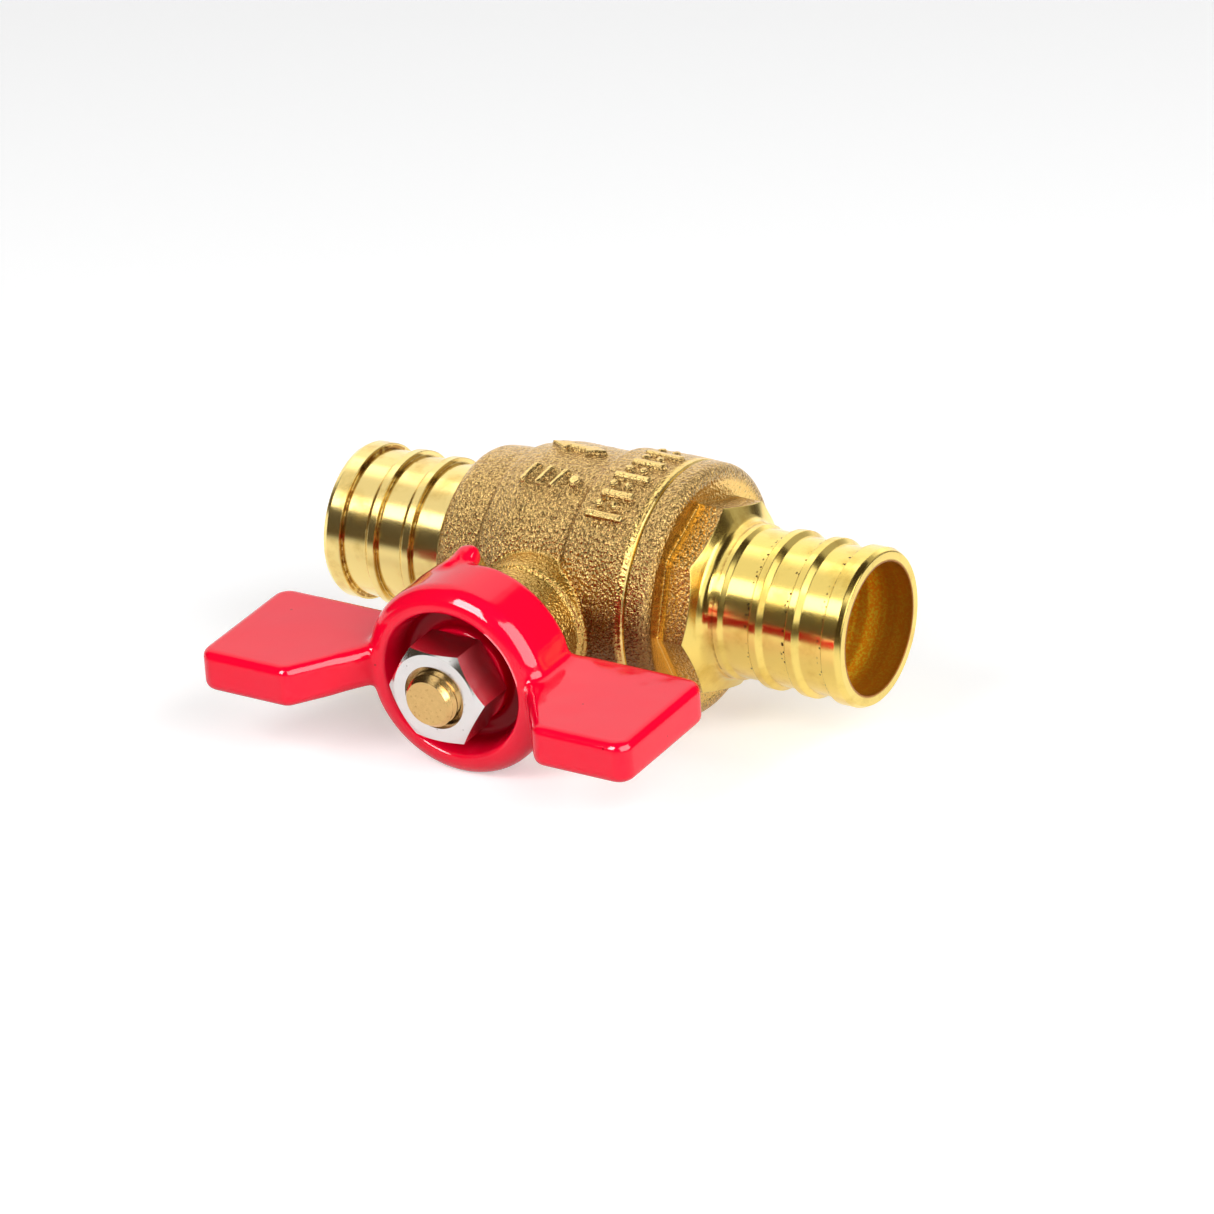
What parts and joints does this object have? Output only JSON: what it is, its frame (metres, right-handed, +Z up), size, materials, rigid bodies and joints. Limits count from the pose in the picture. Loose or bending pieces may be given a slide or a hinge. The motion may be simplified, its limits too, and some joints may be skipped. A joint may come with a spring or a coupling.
{
  "type": "water shutoff ball valve",
  "caption": "Quarter-turn water shutoff valve: cast brass body with a barbed tube tail at each end, screwed octagon end adapter, ported ball, and a dipped butterfly handle held by a hex nut.",
  "frame": {"origin": "centre of the ball, where the pipe axis meets the stem axis", "axes": "X along the pipe axis, -X out of the cast body's tail and +X out of the end adapter's tail; the stem and handle point along -Y; Z up with the valve lying on its side"},
  "size_m": [0.0663, 0.0533, 0.0286],
  "materials": {
    "cast_brass": "sand-cast matte gold-brown, tail machined bright",
    "end_brass": "machined bright, wrench octagon left rough as cast",
    "stem_brass": "machined satin",
    "plated_ball": "chrome plated and polished",
    "white_seal": "white fluoropolymer, slightly waxy",
    "cast_handle": "die-cast, bare",
    "red_vinyl": "glossy red dipped vinyl",
    "plated_nut": "nickel plated"
  },
  "bodies": {
    "valve_body": {"body": "cast_brass", "end_adapter": "end_brass", "body_seal": "white_seal", "seat_left": "white_seal", "seat_right": "white_seal", "stem_thrust_washer": "white_seal", "packing_ring_lower": "white_seal", "packing_ring_upper": "white_seal", "packing_nut": "stem_brass"},
    "handle": {"handle_core": "cast_handle", "handle_skin": "red_vinyl", "handle_nut": "plated_nut", "stem": "stem_brass"},
    "ball": {"ball": "plated_ball"}
  },
  "joints": [
    {"name": "handle_turn", "type": "hinge", "parent": "valve_body", "child": "handle", "pos_m": [0, 0, 0], "axis": [0, 1, 0], "range_deg": [0, 90]},
    {"name": "ball_turn", "type": "hinge", "parent": "valve_body", "child": "ball", "pos_m": [0, 0, 0], "axis": [0, 1, 0], "range_deg": [0, 90]}
  ],
  "couplings": [
    {"joint": "ball_turn", "follows": "handle_turn", "ratio": 1}
  ]
}
